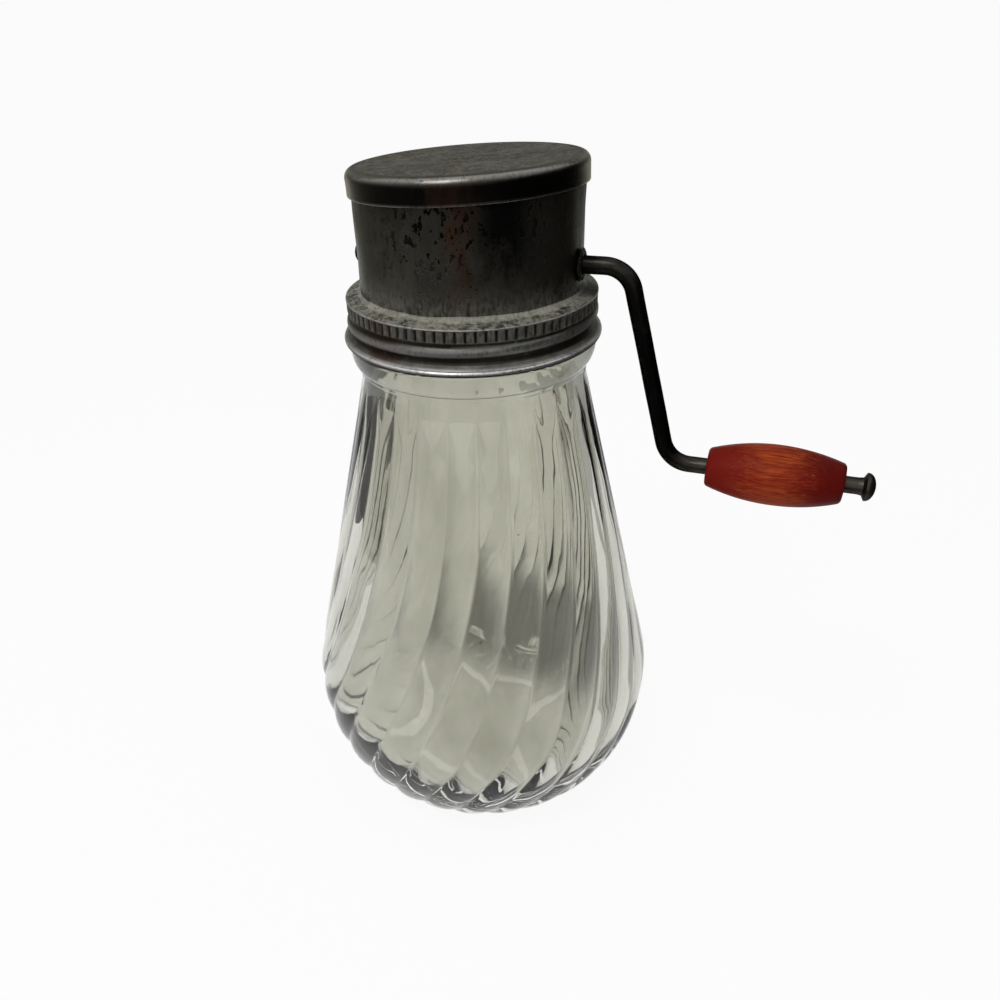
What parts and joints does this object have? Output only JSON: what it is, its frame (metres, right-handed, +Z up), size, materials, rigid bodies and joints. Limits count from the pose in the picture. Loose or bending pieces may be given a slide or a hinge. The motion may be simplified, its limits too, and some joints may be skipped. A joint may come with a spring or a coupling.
{
  "type": "nut grinder",
  "caption": "Hand-cranked nut grinder: a tinplate hopper with a slip lid and combing tines, on a knurled screw cap over a swirl-ribbed glass jar that catches the ground nuts.",
  "frame": {"origin": "centre of the flat base, on the surface that the jar stands on", "axes": "+Z up along the jar, +X along the shaft towards the crank handle"},
  "size_m": [0.1564, 0.1052, 0.189],
  "materials": {
    "clear_glass": "clear pressed glass with a faint grey-green cast",
    "tinplate": "worn grey tinplate with rust bloom",
    "dark_tin": "tinplate tarnished to dark brown-grey",
    "dark_steel": "darkened round steel rod",
    "blade_steel": "stamped bright steel",
    "red_wood": "red lacquered wood, worn to orange along the grain"
  },
  "bodies": {
    "jar": {"glass_jar": "clear_glass"},
    "head": {"screw_cap": "tinplate", "hopper_body": "tinplate", "hopper_floor": "tinplate", "coarse_comb": "blade_steel", "fine_comb": "blade_steel", "comb_rivets": "blade_steel", "crank_bush": "dark_steel", "tail_bush": "dark_steel"},
    "crank": {"crank_rod": "dark_steel", "rotor_comb_front": "blade_steel", "rotor_comb_back": "blade_steel", "rotor_rivets": "blade_steel"},
    "grip": {"handle_grip": "red_wood"},
    "lid": {"hopper_lid": "dark_tin"}
  },
  "joints": [
    {"name": "head_lift", "type": "slide", "parent": "jar", "child": "head", "axis": [0, 0, 1], "range_m": [0, 0.03]},
    {"name": "lid_lift", "type": "slide", "parent": "head", "child": "lid", "axis": [0, 0, 1], "range_m": [0, 0.03]},
    {"name": "crank_turn", "type": "hinge", "parent": "head", "child": "crank", "pos_m": [0, 0, 0.16468], "axis": [1, 0, 0], "continuous": true},
    {"name": "grip_spin", "type": "hinge", "parent": "crank", "child": "grip", "pos_m": [0.07989, 0, 0.11538], "axis": [1, 0, 0], "continuous": true}
  ]
}
